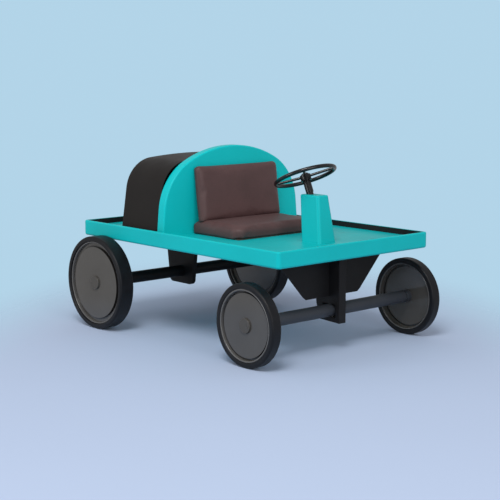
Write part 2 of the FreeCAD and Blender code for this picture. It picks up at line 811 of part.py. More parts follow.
def front_gusset(side, sign):
    """One sheet wing from the fin out to the deck, notched for the pull rod."""
    body = new_body(f"gusset_{side}")
    inner = f"{sign} * fin_width / 2"
    corners = [
        (inner, "gusset_bottom"),
        (f"{sign} * (gusset_bottom_half - gusset_corner_width)", "gusset_bottom"),
        (f"{sign} * gusset_bottom_half", "gusset_bottom + gusset_corner_height"),
        (f"{sign} * gusset_top_half", SKIRT_BOTTOM),
        (f"{sign} * gusset_top_half", FLOOR_UNDER),
        (inner, FLOOR_UNDER),
    ]
    pad(body, outline(body, "YZ_Plane", corners, "gusset_front - gusset_sheet / 2"), "gusset_sheet")
    notch = rod_notch(f"gusset_{side}", sign, "gusset_front - 2 * gusset_sheet", "3 * gusset_sheet")
    return cut(f"gusset_{side}_notched", body, notch)


def kingpin_bushes():
    """Two equal bushes in the fin, above and below the axle."""
    rings = []
    for name, start in (("upper", "fin_bottom + fin_solid_height - kingpin_bush_length"), ("lower", "fin_bottom")):
        outer = rod(f"{name}_kingpin_ring", "kingpin_bush_radius", "kingpin_bush_length", "front_axle_x", 0, start)
        inner = rod(f"{name}_kingpin_bore", "kingpin_radius + running_gap", "3 * kingpin_bush_length",
                    "front_axle_x", 0, f"{start} - kingpin_bush_length")
        rings.append(cut(f"{name}_kingpin_bush", outer, inner))
    return keep(group("kingpin_bush_pair", *rings), "kingpin_bushes")


def kingpin():
    """Upright steering shaft whose top is a fork with its ears fore and aft."""
    body = new_body("kingpin")
    shoulder = "-2 * yoke_radius"
    foot = "(fin_bottom + 2 - joint_height)"
    spin(body, rectangle(body, "XZ_Plane", 0, "kingpin_radius", foot, shoulder))
    spin(body, rectangle(body, "XZ_Plane", 0, "2 * yoke_radius", "-3 * yoke_radius", shoulder))
    add_ears(body, "XZ_Plane", -1)
    pocket(body, circle(body, "YZ_Plane", "cross_radius + fork_gap"), "6 * yoke_radius")
    place(body, "front_axle_x", 0, "joint_height")
    return keep(body, "kingpin")


def front_axle_beam():
    """Thick round beam with a stub at each end, bored for the kingpin."""
    body = new_body("beam")
    half, end = FRONT_BEAM_HALF, f"(front_face + {STUB_PAST_FACE})"
    corners = [
        (0, f"-{end}"), ("stub_radius", f"-{end}"), ("stub_radius", f"-{half}"), ("axle_radius", f"-{half}"),
        ("axle_radius", half), ("stub_radius", half), ("stub_radius", end), (0, end),
    ]
    spin(body, outline(body, "XY_Plane", corners))
    place(body, "front_axle_x", 0, "front_radius")
    bore = rod("beam_bore", "kingpin_radius", "3 * axle_radius", "front_axle_x", 0, "front_radius - 1.5 * axle_radius")
    return keep(cut("beam_bored", body, bore), "front_axle_beam")


# ---------------------------------------------------------------- wheels


def wheel_place(body, end, sign):
    """Move a wheel piece, made about its own middle, to one corner of the car."""
    y = f"{sign} * ({end}_face - {end}_tread / 2)"
    return place(body, f"{end}_axle_x", y, f"{end}_radius")


def tyre(end, side, sign):
    """Solid rubber tyre with rounded shoulders."""
    body = new_body(f"{end}_{side}_tyre")
    radius, half = f"{end}_radius", f"{end}_tread / 2"
    spin(body, rectangle(body, "XY_Plane", f"{radius} * {end}_bore_share", radius, f"-{half}", half))
    soften(body, "tyre_shoulder", lambda edge: edge.BoundBox.XMax > size(radius) - 1e-3 and
           edge.BoundBox.YLength < 1e-3)
    bore = size(radius) * size(f"{end}_bore_share")
    soften(body, "tyre_lip", lambda edge: edge.BoundBox.XMax < bore + 1e-3 and edge.BoundBox.YLength < 1e-3)
    return keep(wheel_place(body, end, sign), f"{end}_{side}_tyre")


def wheel_discs(end, side, sign):
    """Two steel pressings: a flat outer web with a grooved rim, and a deep-set inner web with a barrel."""
    half, bore, web = f"{end}_tread / 2", f"({end}_radius * {end}_bore_share)", f"({end}_radius * web_share)"
    face, deep = f"({half} - web_recess)", f"({half} - inner_recess)"
    groove = f"({face} - web_groove)"
    outer_corners = [
        ("hub_radius", f"{face} - web_sheet"),
        ("hub_radius", face),
        (web, face),
        (f"{web} + 1", groove),
        (bore, groove),
        (bore, f"web_sheet - {deep}"),
        (f"{bore} - web_sheet", f"web_sheet - {deep}"),
        (f"{bore} - web_sheet", f"{groove} - web_sheet"),
        (f"{web} - 1", f"{groove} - web_sheet"),
        (f"{web} - 2", f"{face} - web_sheet"),
    ]
    inner_corners = [
        ("hub_radius", f"-{deep}"),
        (f"{bore} - web_sheet", f"-{deep}"),
        (f"{bore} - web_sheet", f"{end}_trim_inset + inner_trim_depth - {half}"),
        (bore, f"{end}_trim_inset + inner_trim_depth - {half}"),
        (bore, f"web_sheet - {deep}"),
        ("hub_radius", f"web_sheet - {deep}"),
    ]
    pressings = []
    for name, corners in (("outer", outer_corners), ("inner", inner_corners)):
        body = new_body(f"{end}_{side}_{name}_disc")
        spin(body, outline(body, "XY_Plane", [(r, f"{sign} * ({y})") for r, y in corners]))
        pressings.append(wheel_place(body, end, sign))
    return keep(group(f"{end}_{side}_disc_pair", *pressings), f"{end}_{side}_wheel_disc")


def trim_rings(end, side, sign):
    """Rolled bead in the groove of the outer face, and a thin ring on the barrel's inner edge."""
    half, bore = f"{end}_tread / 2", f"({end}_radius * {end}_bore_share)"
    sections = {
        "outer": ("trim_width", f"({half} - web_recess - web_groove)", f"({half} - {end}_trim_inset)"),
        "inner": ("inner_trim_width", f"({end}_trim_inset + inner_trim_depth - {half})",
                  f"({end}_trim_inset - {half})"),
    }
    rings = []
    for name, (width, root, tip) in sections.items():
        body = new_body(f"{end}_{side}_{name}_trim")
        blank = rectangle(body, "XY_Plane", f"{bore} - {width}", bore, f"{sign} * {root}", f"{sign} * {tip}")
        spin(body, blank)
        edge_y = size(f"{end}_tread") / 2 - size(f"{end}_trim_inset")
        soften(body, f"{width} * 0.44", lambda edge, y=edge_y: abs(middle(edge).y) > y - 1e-3)
        rings.append(wheel_place(body, end, sign))
    return keep(group(f"{end}_{side}_trim_pair", *rings), f"{end}_{side}_trim_ring")


def hub(end, side, sign):
    """Hub bush with a blind bore, closed by a raised boss on the outside."""
    body = new_body(f"{end}_{side}_hub")
    bore = "(stub_radius + running_gap)"
    inside = f"{-sign} * ({end}_tread / 2 + axle_to_wheel * 0.6)"
    web_face = f"({end}_tread / 2 - web_recess)"
    outside = f"({web_face} + boss_height)"
    corners = [
        (bore, inside),
        ("hub_radius", inside),
        ("hub_radius", f"{sign} * {web_face}"),
        ("hub_cap_radius", f"{sign} * {web_face}"),
        ("hub_cap_radius", f"{sign} * {outside}"),
        (0, f"{sign} * {outside}"),
        (0, f"{sign} * ({outside} - hub_end_wall)"),
        (bore, f"{sign} * ({outside} - hub_end_wall)"),
    ]
    spin(body, outline(body, "XY_Plane", corners))
    edge_y = size(f"{end}_tread") / 2 - size("web_recess") + size("boss_height")
    soften(body, "boss_height * 0.36", lambda edge: sign * middle(edge).y > edge_y - 1e-3)
    return keep(wheel_place(body, end, sign), f"{end}_{side}_hub")


def wheel(end, side, sign):
    """All the pieces of one wheel."""
    tyre(end, side, sign)
    wheel_discs(end, side, sign)
    trim_rings(end, side, sign)
    hub(end, side, sign)


# ---------------------------------------------------------------- rear axle and belt drive


def rear_hanger():
    """Narrow tapered case under the deck that carries the axle tubes and hides the belt.

    A flange along the rear half of its head takes the bolts that hold it to the floor.
    """
    body = new_body("case")
    low, high = "case_bottom", FLOOR_UNDER
    centre = "rear_axle_x"
    corners = [
        (f"{centre} - case_half_top", high), (f"{centre} + case_half_top", high),
        (f"{centre} + case_half_low", low), (f"{centre} - case_half_low", low),
    ]
    pad(body, outline(body, "XZ_Plane", corners), "case_width")
    soften(body, "case_width * 1.2", lambda edge: runs_along(edge, Y_AXIS) and middle(edge).z < size("rear_radius"))
    wall = "case_wall"
    inner = [
        (f"{centre} - case_half_top + 2 * {wall}", high), (f"{centre} + case_half_top - 2 * {wall}", high),
        (f"{centre} + case_half_low - 6 * {wall}", f"{low} + 2 * {wall}"),
        (f"{centre} - case_half_low + 6 * {wall}", f"{low} + 2 * {wall}"),
    ]
    pocket(body, outline(body, "XZ_Plane", inner), "case_width - 2 * case_wall")
    flange = block("case_flange", "case_half_top + flange_reach", "2 * flange_half", "flange_sheet",
                   f"{centre} - case_half_top", 0, f"{FLOOR_UNDER} - flange_sheet")
    well = block("flange_well", "case_half_top + 2 * flange_reach", "case_width - 2 * case_wall",
                 "2 * flange_sheet", f"{centre} - case_half_top + 2 * {wall}", 0,
                 f"{FLOOR_UNDER} - 1.5 * flange_sheet")
    flanged = fuse("case_flanged", body, cut("flange_plate", flange, well))
    axle_hole = cross_rod("case_axle_hole", "stub_radius + 2", "case_width", centre, "rear_radius")
    shaft_hole = cross_rod("case_layshaft_hole", "layshaft_radius + 3", "case_width", "layshaft_x",
                           "layshaft_height")
    return keep(cut("case_bored", flanged, axle_hole, shaft_hole, *bolt_shanks("flange_hole")), "rear_hanger")


def rear_tube(side, sign):
    """Fixed outer tube from the case to just inside one wheel."""
    low, high = f"{sign} * case_width / 2", f"{sign} * {REAR_TUBE_HALF}"
    return ring_body(f"rear_tube_{side}", "axle_radius - tube_wall", "axle_radius", low, high,
                     "rear_axle_x", 0, "rear_radius")


def rear_bush(side, sign):
    """Bush at the outer end of one axle tube."""
    low, high = f"{sign} * ({REAR_TUBE_HALF} - rear_bush_length)", f"{sign} * {REAR_TUBE_HALF}"
    return ring_body(f"rear_bush_{side}", "stub_radius + running_gap", "axle_radius - tube_wall", low, high,
                     "rear_axle_x", 0, "rear_radius")


def rear_shaft():
    """Live shaft from hub to hub inside the axle tubes."""
    return keep(cross_rod("rear_shaft", "stub_radius", f"rear_face + {STUB_PAST_FACE}", "rear_axle_x",
                          "rear_radius"), "rear_shaft")


def pulley(label, bore, radius, x, z):
    """Flanged pulley for the flat belt."""
    body = new_body(label)
    inner, outer = "(belt_width / 2 + rim_gap)", "(belt_width / 2 + rim_gap + rim_sheet)"
    flange = f"({radius} + belt_gap + belt_depth * 0.7)"
    corners = [
        (bore, f"-{outer}"), (flange, f"-{outer}"), (flange, f"-{inner}"), (radius, f"-{inner}"),
        (radius, inner), (flange, inner), (flange, outer), (bore, outer),
    ]
    spin(body, outline(body, "XY_Plane", corners))
    return keep(place(body, x, 0, z), label)


def belt_outline(extra):
    """Closed wire round both pulleys at a distance from their rims."""
    big = Vector(size("layshaft_x"), 0, size("layshaft_height"))
    small = Vector(size("rear_axle_x"), 0, size("rear_radius"))
    big_radius, small_radius = size("layshaft_pulley") + extra, size("axle_pulley") + extra
    along = small - big
    reach = along.Length
    along.normalize()
    across = Vector(-along.z, 0, along.x)
    sine = (big_radius - small_radius) / reach
    cosine = math.sqrt(1 - sine**2)
    left = along * sine + across * cosine
    right = along * sine - across * cosine
    edges = [
        Part.makeLine(big + left * big_radius, small + left * small_radius),
        Part.Arc(small + left * small_radius, small + along * small_radius, small + right * small_radius).toShape(),
        Part.makeLine(small + right * small_radius, big + right * big_radius),
        Part.Arc(big + right * big_radius, big - along * big_radius, big + left * big_radius).toShape(),
    ]
    return Part.Wire(edges)


def drive_belt():
    """Endless flat belt from the layshaft down to the axle."""
    inner = Part.Face(belt_outline(size("belt_gap")))
    outer = Part.Face(belt_outline(size("belt_gap") + size("belt_depth")))
    width = size("belt_width")
    band = outer.cut(inner).Faces[0]
    band.translate(Vector(0, -width / 2, 0))
    return free_shape("drive_belt", band.extrude(Vector(0, width, 0)))


def layshaft():
    """Short cross shaft that the two ratchet pinions drive."""
    return keep(cross_rod("layshaft", "layshaft_radius", "rod_side + rod_width * 1.6", "layshaft_x",
                          "layshaft_height"), "layshaft")


def layshaft_bush(side, sign):
    """Bush in one wall of the case."""
    low = f"{sign} * (case_width / 2 - case_wall)"
    high = f"{sign} * (case_width / 2 + case_wall)"
    return ring_body(f"layshaft_bush_{side}", "layshaft_radius + running_gap", "layshaft_radius + 3", low, high,
                     "layshaft_x", 0, "layshaft_height")


# ---------------------------------------------------------------- treadles, rods and pinions


def tooth_half(height):
    """Half the thickness of a tooth at a height above the pitch line, with running backlash."""
    pitch = 2 * math.pi * size("pinion_pitch") / size("pinion_teeth")
    return pitch / 4 - size("tooth_backlash") - height * math.tan(size("tooth_slope") * DEGREE)


def ratchet_pinion(side, sign):
    """Small pinion with a one-way clutch in its bore; its top meets the rack on the pull rod."""
    pitch, count = size("pinion_pitch"), int(size("pinion_teeth"))
    tip, root = pitch + size("tooth_reach"), pitch - size("tooth_root")
    x, z = size("layshaft_x"), size("layshaft_height")
    near = size("rod_side") - size("pinion_width") / 2
    corners = []
    for i in range(count):
        centre = math.pi / 2 + (i + 0.5) * 2 * math.pi / count
        tip_half = tooth_half(size("tooth_reach")) / tip
        root_half = tooth_half(-size("tooth_root")) / root
        for radius, turn in ((root, -root_half), (tip, -tip_half), (tip, tip_half), (root, root_half)):
            angle = centre + turn
            corners.append(Vector(x + radius * math.cos(angle), 0, z + radius * math.sin(angle)))
    face = Part.Face(Part.makePolygon(corners + corners[:1]))
    solid = face.extrude(Vector(0, size("pinion_width"), 0))
    bore = Part.makeCylinder(size("layshaft_radius") + size("running_gap"), 4 * size("pinion_width"),
                             Vector(x, -size("pinion_width"), z), Y_AXIS)
    solid = solid.cut(bore)
    solid.translate(Vector(0, near if sign > 0 else -near - size("pinion_width"), 0))
    return free_shape(f"ratchet_pinion_{side}", solid)


def pull_rod(side, sign):
    """Flat bar under the floor: a notch for the treadle's finger in front, a toothed rack behind."""
    finger_x = size("pivot_x") - size("lever_reach") * math.sin(size("lever_lean") * DEGREE)
    top, height, width = size("rod_top"), size("rod_height"), size("rod_width")
    pitch_line = size("layshaft_height") + size("pinion_pitch")
    root_line = pitch_line + size("tooth_root")
    pitch = 2 * math.pi * size("pinion_pitch") / size("pinion_teeth")
    shaft_x = size("layshaft_x")
    riser_rear, riser_front = shaft_x + 6 * pitch, shaft_x + 6 * pitch + height
    nose = finger_x + 4 * size("finger_radius")
    gap = size("finger_radius") + size("finger_gap")
    notch_top = size("pivot_height") + size("lever_reach") + size("finger_radius") + 2 * size("finger_gap")
    rack_top = root_line + size("rack_depth")
    lower = [(shaft_x - 7 * pitch, rack_top), (shaft_x - 7 * pitch, root_line)]
    for i in range(-5, 4):
        centre = shaft_x + i * pitch
        root_half, tip_half = tooth_half(-size("tooth_root")), tooth_half(size("tooth_reach"))
        tip_line = pitch_line - size("tooth_reach")
        lower += [(centre - root_half, root_line), (centre - tip_half, tip_line),
                  (centre + tip_half, tip_line), (centre + root_half, root_line)]
    lower += [(riser_front, root_line), (riser_front, top - height), (finger_x - gap, top - height),
              (finger_x - gap, notch_top), (finger_x + gap, notch_top), (finger_x + gap, top - height),
              (nose, top - height), (nose, top), (riser_rear, top), (riser_rear, rack_top)]
    points = [Vector(x, 0, z) for x, z in lower]
    solid = Part.Face(Part.makePolygon(points + points[:1])).extrude(Vector(0, width, 0))
    solid.translate(Vector(0, sign * size("rod_side") - width / 2, 0))
    return free_shape(f"pull_rod_{side}", solid)


def treadle_layer(name, sign, thickness, depth):
    """One sloping layer of a treadle: its top lies a depth below the tread surface."""
    length = "(treadle_toe - treadle_heel) / cos(treadle_slope)"
    sunk = f"({depth} + {thickness})"
    x = f"treadle_heel + {sunk} * sin(treadle_slope)"
    z = f"{FLOOR_TOP} + treadle_lift - {sunk} * cos(treadle_slope)"
    y = f"{sign} * (treadle_inner + treadle_outer) / 2 - (treadle_outer - treadle_inner) / 2"
    layer = primitive("Box", name, Length=length, Width="treadle_outer - treadle_inner", Height=thickness)
    return place(layer, x, y, z, Y_AXIS, "-treadle_slope")


def treadle(side, sign):
    """Foot plate on a cross tube, with a short upright lever whose finger moves the pull rod."""
    plate = treadle_layer(f"treadle_plate_{side}", sign, "treadle_sheet", "pad_thickness")
    inner = "(rod_side - lever_thickness / 2)"
    tube_start = "treadle_outer" if sign > 0 else f"-{inner}"
    tube = rod(f"treadle_tube_{side}", "treadle_tube", f"treadle_outer - {inner}", "pivot_x", tube_start,
               "pivot_height", X_AXIS, 90)
    lever = primitive("Box", f"treadle_lever_{side}", Length="lever_thickness - 1", Width="lever_thickness",
                      Height="lever_reach")
    place(lever, "pivot_x - (lever_thickness - 1) / 2 * cos(lever_lean)", f"{sign} * rod_side - lever_thickness / 2",
          "pivot_height - (lever_thickness - 1) / 2 * sin(lever_lean)", Y_AXIS, "-lever_lean")
    finger = rod(f"treadle_finger_{side}", "finger_radius", "lever_thickness",
                 "pivot_x - lever_reach * sin(lever_lean)", f"{sign} * rod_side + lever_thickness / 2",
                 "pivot_height + lever_reach * cos(lever_lean)", X_AXIS, 90)
    cheeks = [treadle_cheek(f"{side}_{name}", f"{sign} * ({y})")
              for name, y in (("inner", "treadle_inner + 6"), ("outer", "treadle_outer - 6"))]
    bore = cross_rod(f"treadle_bore_{side}", "pivot_radius + running_gap", "pivot_half", "pivot_x", "pivot_height")
    solid = fuse(f"treadle_solid_{side}", plate, tube, lever, finger, *cheeks)
    return keep(cut(f"treadle_bored_{side}", solid, bore), f"treadle_{side}")


def treadle_cheek(name, y):
    """Web that holds the foot plate up from its cross tube."""
    body = new_body(f"cheek_{name}")
    slope = "tan(treadle_slope)"
    under = f"({FLOOR_TOP} + treadle_lift - (pad_thickness + treadle_sheet / 2) / cos(treadle_slope))"
    rear, front = "(treadle_heel + 2)", "(treadle_toe - 3)"
    corners = [
        ("pivot_x - treadle_tube * 0.8", "pivot_height"),
        ("pivot_x + treadle_tube * 0.8", "pivot_height"),
        (front, f"{under} + ({front} - treadle_heel) * {slope}"),
        (rear, f"{under} + ({rear} - treadle_heel) * {slope}"),
    ]
    pad(body, outline(body, "XZ_Plane", corners), "treadle_sheet * 1.5")
    return place(body, 0, y, 0)


def treadle_pad(side, sign):
    """Rubber tread on one foot plate."""
    slab = treadle_layer(f"treadle_slab_{side}", sign, "pad_thickness", "0")
    return keep(slab, f"treadle_pad_{side}")


def pedal_pivot_shaft():
    """Fixed cross shaft that both treadles swing on, held by the fin and two brackets."""
    return keep(cross_rod("pedal_pivot_shaft", "pivot_radius", "pivot_half", "pivot_x", "pivot_height"),
                "pedal_pivot_shaft")


def pedal_bracket(side, sign):
    """Hanging bracket at one end of the pivot shaft."""
    plate = block(f"bracket_plate_{side}", "4 * pivot_radius", "5", f"{FLOOR_UNDER} - pivot_height + 9",
                  "pivot_x - 2 * pivot_radius", f"{sign} * (pivot_half - 4)", "pivot_height - 9")
    hole = cross_rod(f"bracket_hole_{side}", "pivot_radius", "2 * pivot_half", "pivot_x", "pivot_height")
    return cut(f"bracket_{side}", plate, hole)


def pedal_spring(side, sign):
    """Closely wound return spring between a treadle and its bracket, as a plain sleeve."""
    low, high = f"{sign} * (treadle_outer + 1.5)", f"{sign} * (pivot_half - 8)"
    return ring_body(f"spring_{side}", "pivot_radius + 0.2", "treadle_tube", low, high, "pivot_x", 0,
                     "pivot_height")


# ---------------------------------------------------------------- fasteners


def bolt_places():
    """Each bolt's x and y, and the heights of its head's top and its shank's end.

    Four go up through the rear hanger's flange and the floor, and four through the floor into the bulkhead.
    """
    places = []
    for back in (0.85, 0.12):
        for sign in (1, -1):
            places.append((f"rear_axle_x - {back} * case_half_top", f"{sign} * 0.65 * flange_half",
                           f"({FLOOR_UNDER} - flange_sheet)", FLOOR_TOP))
    for share in (-0.75, -0.25, 0.25, 0.75):
        places.append(("arch_rear_x + arch_thickness / 2", f"{share} * arch_half", FLOOR_UNDER,
                       f"({FLOOR_TOP} + bolt_bite)"))
    return places


def bolt_shanks(name):
    """The plain shank of every bolt."""
    return [rod(f"{name}_{i}", "bolt_head / 2", f"{end} - {start}", x, y, start)
            for i, (x, y, start, end) in enumerate(bolt_places(), start=1)]


def deck_bolts():
    """Low round-headed bolts under the floor, one solid each."""
    bolts = []
    for i, (shank, (x, y, start, _)) in enumerate(zip(bolt_shanks("bolt_shank"), bolt_places()), start=1):
        head = rod(f"bolt_head_{i}", "bolt_head", "bolt_thickness", x, y, f"{start} - bolt_thickness")
        bolts.append(fuse(f"bolt_{i}", shank, head))
    return keep(group("bolt_set", *bolts), "deck_bolts")


# ---------------------------------------------------------------- assembly


def build():
    """Every sub-part of the car."""
    for make in (deck_tray, rim_liner, crossmembers, arch_panel, hood_shell, hood_rear_panel, seat_board,
                 seat_cushion, seat_back_pad, seat_back_wedge, steering_pedestal, column_bushes, front_hanger,
                 kingpin_bushes, rear_hanger, pedal_pivot_shaft, drive_belt, deck_bolts, steering_rim,
                 steering_spokes, steering_cap, steering_column, universal_cross, kingpin, front_axle_beam,
                 rear_shaft, layshaft):
        make()
    for label, make in (("front_gussets", front_gusset), ("rear_axle_tubes", rear_tube),
                        ("rear_axle_bushes", rear_bush), ("pedal_brackets", pedal_bracket),
                        ("pedal_springs", pedal_spring), ("layshaft_bushes", layshaft_bush)):
        mirror_pair(label, make)
    pulley("layshaft_pulley", "layshaft_radius", "layshaft_pulley", "layshaft_x", "layshaft_height")
    pulley("axle_pulley", "stub_radius", "axle_pulley", "rear_axle_x", "rear_radius")
    for side, sign in SIDES:
        for make in (treadle, treadle_pad, pull_rod, ratchet_pinion):
            make(side, sign)
        for end in ("front", "rear"):
            wheel(end, side, sign)


def check():
    """Stop if any object failed or any sub-part isn't a sound solid."""
    failed = [item.Label for item in doc.Objects if {"Invalid", "Error"} & set(item.State)]
    unsound = [item.Label for item in nodes if item.Shape.isNull() or not item.Shape.isValid()]
    if failed or unsound:
        raise RuntimeError(f"failed: {failed}; unsound: {unsound}")


def write():
    """One STEP file for each sub-part."""
    os.makedirs("parts", exist_ok=True)
    for item in nodes:
        item.Shape.exportStep(f"parts/{item.Label}.step")
    print(len(nodes), "sub-parts written")


build()
doc.recompute()
check()
write()
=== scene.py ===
import json
import math

import bmesh
import bpy
from mathutils import Matrix, Vector


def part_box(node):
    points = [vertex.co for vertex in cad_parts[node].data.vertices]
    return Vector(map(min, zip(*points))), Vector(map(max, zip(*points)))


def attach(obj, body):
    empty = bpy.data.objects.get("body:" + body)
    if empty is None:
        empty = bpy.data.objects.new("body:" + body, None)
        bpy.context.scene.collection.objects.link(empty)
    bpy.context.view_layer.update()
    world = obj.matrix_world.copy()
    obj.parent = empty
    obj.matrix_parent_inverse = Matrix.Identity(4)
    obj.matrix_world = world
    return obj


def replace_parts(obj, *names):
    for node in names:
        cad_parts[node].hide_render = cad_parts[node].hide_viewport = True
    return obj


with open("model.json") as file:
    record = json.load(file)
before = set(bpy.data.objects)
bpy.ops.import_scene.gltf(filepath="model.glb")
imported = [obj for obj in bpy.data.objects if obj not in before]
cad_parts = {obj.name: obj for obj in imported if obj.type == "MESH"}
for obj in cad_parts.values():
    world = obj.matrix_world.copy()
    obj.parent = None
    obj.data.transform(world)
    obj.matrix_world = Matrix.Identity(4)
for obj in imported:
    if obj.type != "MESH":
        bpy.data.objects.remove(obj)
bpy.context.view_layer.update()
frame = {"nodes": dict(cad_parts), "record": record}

NODES = frame["nodes"]
SLOT_OF = {row["node"]: row["material_slot"] for row in frame["record"]["subparts"]}
WHEELS = [(end, side) for end in ("front", "rear") for side in ("left", "right")]

# Linear colours. Every length is in metres and every angle is in degrees until it is used.
TEAL = (0.003, 0.47, 0.49)
# painted light: the same teal paint, a tenth lighter on the arch board, standing in for light its face gets
# too little of
TEAL_WITH_PAINTED_LIGHT = tuple(c * 1.1 for c in TEAL)
COWL = (0.014, 0.012, 0.011)
HANGER = (0.011, 0.011, 0.012)
LINER = (0.010, 0.010, 0.011)
LEATHER = (0.09, 0.046, 0.046)
WOOD = (0.05, 0.032, 0.022)
AXLE = (0.042, 0.047, 0.056)
DISC = (0.063, 0.059, 0.053)
TRIM = (0.095, 0.093, 0.09)
TYRE = (0.006, 0.0065, 0.008)
WHEEL_BLACK = (0.003, 0.0035, 0.005)
STEEL = (0.46, 0.46, 0.47)
ZINC = (0.52, 0.53, 0.54)
NYLON = (0.62, 0.6, 0.54)
BELT = (0.02, 0.02, 0.02)
TREAD = (0.016, 0.016, 0.017)
PALE_DUST = (0.5, 0.5, 0.48)
ROAD_DUST = (0.3, 0.29, 0.28)

# The groove of a wheel disc and the moulding rings of a tyre, as shares of the tyre's radius.
GROOVE_SHARE = 0.77
RINGS_SHARE = 0.88

# The cushions' cloth simulation.
VOXEL = 0.005
PRESSURE = 4.0
CLOTH_FRAMES = 20
RELAX_ROUNDS = 4
SAME_LEVEL = 1e-5

# The seat cushion.
SEAT_CROWN = 0.004
SEAT_CORNER = 0.040
SEAT_RIM = 0.013
SEAT_CAP = 0.009
HEM_REACH = 0.008
HEM_HEIGHT = 0.012
HEM_CLEARANCE = 0.0005

# The seat back, which leans by BACK_RECLINE.
BACK_RECLINE = 8
BACK_PROUD = 0.0005
BACK_CROWN = 0.003
BACK_SUNK = 0.004
BACK_CORNER = 0.014
BACK_RIM = 0.009
BACK_CAP = 0.007

# The treadles' ribbed treads.
TREADLE_SLOPE = 12.6
TREAD_WEB = 0.0010
TREAD_HEIGHT = 0.0021
TREAD_PITCH = 0.0068
TREAD_RIB = 0.0036
TREAD_SHOULDER = 0.12
TREAD_EDGE = 0.0003

# The treadles' return springs.
SPRING_WIRE = 0.0007
SPRING_TURNS = 5
SPRING_STEPS = 28
SPRING_SIDES = 8

# The studio.
BACKDROP = (0.45, 0.66, 0.81)
ROOM = (0.49, 0.49, 0.50)
FLOOR = (0.462, 0.556, 0.735)
FLOOR_RADIUS = 60
OVAL_CENTRE = (0.6, -0.53, 0)
OVAL_TURN = 48.4
OVAL_HALF_AXES = (0.75, 1.5, 1)
OVAL_CLEARS = (0.9, 1.65)
LIGHT_AIM = (0, 0, 0.25)
LIGHTS = (
    # name, place, size, watts, colour
    ("key", (2.5, -3.3, 5.2), 2.5, 200, (1.0, 0.99, 0.98)),
    ("side", (-1.9, -6.6, 2.4), 3.2, 98, (1.0, 1.0, 1.0)),
    ("front", (6.4, -1.8, 2.4), 3.2, 90, (1.0, 1.0, 1.0)),
)
CAMERA_PLACE = (2.9619, -2.6276, 0.8671)
CAMERA_YAW = 138.4
CAMERA_PITCH = -8.67
CAMERA_LENS = 88.76
CAMERA_SENSOR = 36


# ---------------------------------------------------------------- node helpers


class Graph:
    """A material's node tree, with one Principled shader and short calls for the nodes used here."""

    def __init__(self, name):
        self.material = bpy.data.materials.new(name)
        self.material.use_nodes = True
        self.tree = self.material.node_tree
        self.shader = self.tree.nodes["Principled BSDF"]
        self.place = self.add("ShaderNodeTexCoord").outputs["Object"]
        self.height = None

    def add(self, kind, **settings):
        node = self.tree.nodes.new(kind)
        for key, value in settings.items():
            setattr(node, key, value)
        return node

    def link(self, out, socket):
        self.tree.links.new(out, socket)

    def feed(self, socket, value):
        """Links an output to a socket, or writes a plain value on it."""
        if isinstance(value, bpy.types.NodeSocket):
            self.link(value, socket)
        else:
            socket.default_value = value

    def stretched(self, scale):
        node = self.add("ShaderNodeMapping")
        self.link(self.place, node.inputs["Vector"])
        node.inputs["Scale"].default_value = scale
        return node.outputs["Vector"]

    def noise(self, scale, detail=3.0, rough=0.5, vector=None, distortion=0.0):
        node = self.add("ShaderNodeTexNoise")
        self.link(vector or self.place, node.inputs["Vector"])
        node.inputs["Scale"].default_value = scale
        node.inputs["Detail"].default_value = detail
        node.inputs["Roughness"].default_value = rough
        node.inputs["Distortion"].default_value = distortion
        return node.outputs["Fac"]

    def cells(self, scale, feature):
        node = self.add("ShaderNodeTexVoronoi", feature=feature)
        self.link(self.place, node.inputs["Vector"])
        node.inputs["Scale"].default_value = scale
        return node.outputs["Distance"]

    def math(self, operation, a, b=0.0):
        node = self.add("ShaderNodeMath", operation=operation)
        for socket, value in zip(node.inputs, (a, b)):
            self.feed(socket, value)
        return node.outputs[0]

    def ranged(self, value, low, high, to_low=0.0, to_high=1.0, smooth=False):
        node = self.add("ShaderNodeMapRange")
        if smooth:
            node.interpolation_type = "SMOOTHSTEP"
        for socket, item in zip(node.inputs, (value, low, high, to_low, to_high)):
            self.feed(socket, item)
        return node.outputs[0]

    def mix(self, factor, first, second):
        node = self.add("ShaderNodeMix", data_type="RGBA")
        self.feed(node.inputs[0], factor)
        for socket, colour in ((node.inputs[6], first), (node.inputs[7], second)):
            self.feed(socket, colour if isinstance(colour, bpy.types.NodeSocket) else (*colour, 1))
        return node.outputs[2]

    def drift(self, value, low, high, colour, vary):
        """The colour, darker and lighter by the same share as the value goes from low to high."""
        return self.mix(self.ranged(value, low, high), shade(colour, 1 - vary), shade(colour, 1 + vary))

    def bump(self, value, strength, distance):
        """Adds one layer of relief on top of those already there."""
        node = self.add("ShaderNodeBump")
        node.inputs["Strength"].default_value = strength
        node.inputs["Distance"].default_value = distance
        self.link(value, node.inputs["Height"])
        if self.height is not None:
            self.link(self.height, node.inputs["Normal"])
        self.height = node.outputs["Normal"]
        self.link(self.height, self.shader.inputs["Normal"])

    def from_axle(self, centre):
        """Distance from the axle of a wheel that is centred there."""
        node = self.add("ShaderNodeVectorMath", operation="SUBTRACT")
        self.link(self.place, node.inputs[0])
        node.inputs[1].default_value = centre
        apart = self.add("ShaderNodeSeparateXYZ")
        self.link(node.outputs[0], apart.inputs[0])
        x, z = apart.outputs["X"], apart.outputs["Z"]
        return self.math("SQRT", self.math("ADD", self.math("MULTIPLY", x, x), self.math("MULTIPLY", z, z)))

    def rings(self, radius, per_metre):
        """Rings about an axle, as turned or moulded in, with so many radians of wave per metre."""
        return self.math("SINE", self.math("MULTIPLY", radius, per_metre))

    def set(self, **values):
        for key, value in values.items():
            self.feed(self.shader.inputs[key.replace("_", " ")], value)


def shade(colour, factor):
    return tuple(c * factor for c in colour)


# ---------------------------------------------------------------- materials


